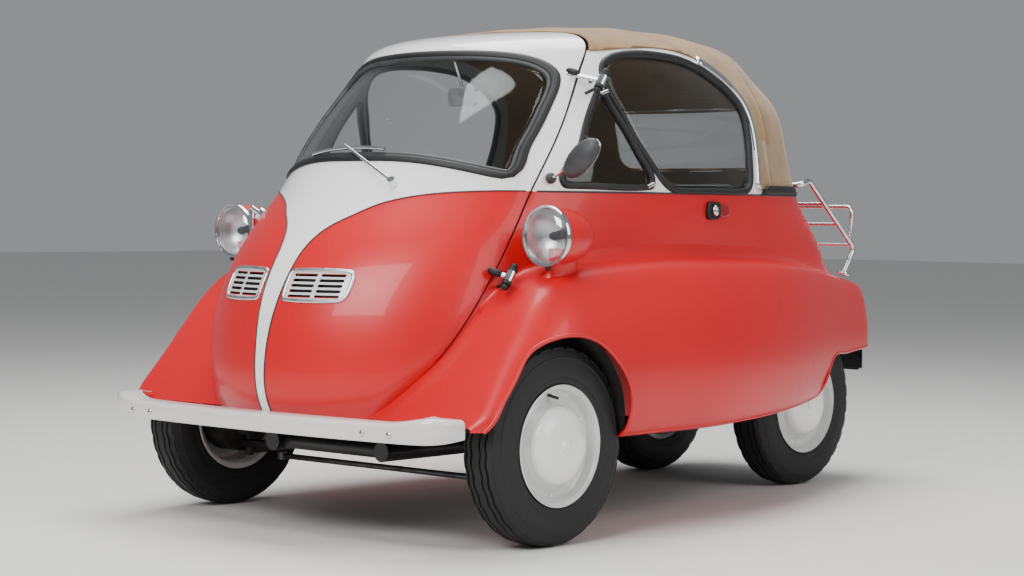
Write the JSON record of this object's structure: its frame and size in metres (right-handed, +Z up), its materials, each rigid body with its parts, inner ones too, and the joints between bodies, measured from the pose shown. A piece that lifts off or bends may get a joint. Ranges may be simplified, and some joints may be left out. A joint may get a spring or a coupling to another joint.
{
  "type": "bubble car",
  "caption": "Small two-seat bubble car whose whole front opens as a door, with a folding canvas roof and a narrow rear axle.",
  "frame": {"origin": "on the ground, midway along the length and width of the car", "axes": "+Z up, -Y towards the nose, +X towards the left side of the car"},
  "size_m": [1.386, 2.3, 1.33],
  "materials": {
    "paint_red": "bright coral red gloss paint",
    "paint_black": "satin black paint",
    "paint_cream": "cream gloss paint",
    "wheel_silver": "silver-white wheel paint",
    "cast_iron": "bare casting",
    "steel": "plain steel",
    "aluminium": "cast aluminium",
    "tyre": "black tyre rubber",
    "chrome": "bright chrome plate",
    "lamp_red": "red lamp plastic",
    "glass": "clear glass",
    "clear_plastic": "clear flexible window sheet",
    "upholstery": "dark brown leatherette",
    "cream_plastic": "cream plastic",
    "rubber": "black rubber",
    "canvas": "tan canvas"
  },
  "bodies": {
    "body": {"cabin_shell": "paint_red", "front_wings": "paint_red", "tail_shell": "paint_red", "floor_panel": "paint_black", "chassis_frame": "paint_black", "front_axle_beam": "paint_black", "engine_block": "aluminium", "silencer": "steel", "headlamp_housings": "paint_red", "headlamp_rims": "chrome", "headlamp_lenses": "glass", "seat_base": "paint_black", "seat_cushion": "upholstery", "seat_back": "upholstery", "front_bumper": "paint_cream", "rear_bumper": "steel", "luggage_rack": "chrome", "hinges_body_side": "chrome", "outside_mirror": "chrome", "small_lamps": "lamp_red", "side_windows": "glass", "side_window_seals": "rubber", "rear_window": "clear_plastic", "roof_canvas": "canvas", "rear_canvas": "canvas"},
    "door": {"door_panel": "paint_red", "windscreen": "glass", "windscreen_seal": "rubber", "hinges_door_side": "chrome", "steering_column": "paint_black", "grilles": "wheel_silver", "wiper": "chrome", "interior_mirror": "chrome", "door_handle": "chrome"},
    "steering_wheel": {"steering_wheel": "cream_plastic"},
    "knuckle_left": {"knuckle_left": "cast_iron"},
    "knuckle_right": {"knuckle_right": "cast_iron"},
    "tie_rod": {"tie_rod": "steel"},
    "wheel_front_left": {"front_tyre_left": "tyre", "front_rim_left": "wheel_silver"},
    "wheel_front_right": {"front_tyre_right": "tyre", "front_rim_right": "wheel_silver"},
    "rear_axle": {"rear_axle": "cast_iron", "rear_tyres": "tyre", "rear_rims": "wheel_silver"}
  },
  "joints": [
    {"name": "door_hinge", "type": "hinge", "parent": "body", "child": "door", "pos_m": [0.5, -0.74062, 0.655], "axis": [0, 0.5736, 0.8192], "range_deg": [0, 78]},
    {"name": "steer_left", "type": "hinge", "parent": "body", "child": "knuckle_left", "pos_m": [0.49, -0.7, 0.247], "axis": [0, 0, 1], "range_deg": [-20, 20]},
    {"name": "steer_right", "type": "hinge", "parent": "body", "child": "knuckle_right", "pos_m": [-0.49, -0.7, 0.247], "axis": [0, 0, 1], "range_deg": [-20, 20]},
    {"name": "tie_rod_pivot", "type": "hinge", "parent": "knuckle_left", "child": "tie_rod", "pos_m": [0.49, -0.58, 0.128], "axis": [0, 0, 1], "range_deg": [-20, 20]},
    {"name": "steering_wheel_turn", "type": "hinge", "parent": "door", "child": "steering_wheel", "pos_m": [0.17, -0.43, 0.745], "axis": [0, 0.749, 0.6626], "range_deg": [-264, 264]},
    {"name": "front_left_wheel_spin", "type": "hinge", "parent": "knuckle_left", "child": "wheel_front_left", "pos_m": [0.58, -0.7, 0.247], "axis": [1, 0, 0], "continuous": true},
    {"name": "front_right_wheel_spin", "type": "hinge", "parent": "knuckle_right", "child": "wheel_front_right", "pos_m": [-0.58, -0.7, 0.247], "axis": [1, 0, 0], "continuous": true},
    {"name": "rear_axle_spin", "type": "hinge", "parent": "body", "child": "rear_axle", "pos_m": [0, 0.8, 0.247], "axis": [1, 0, 0], "continuous": true}
  ],
  "couplings": [
    {"joint": "steer_right", "follows": "steer_left", "ratio": 1},
    {"joint": "tie_rod_pivot", "follows": "steer_left", "ratio": -1},
    {"joint": "steering_wheel_turn", "follows": "steer_left", "ratio": 13}
  ]
}
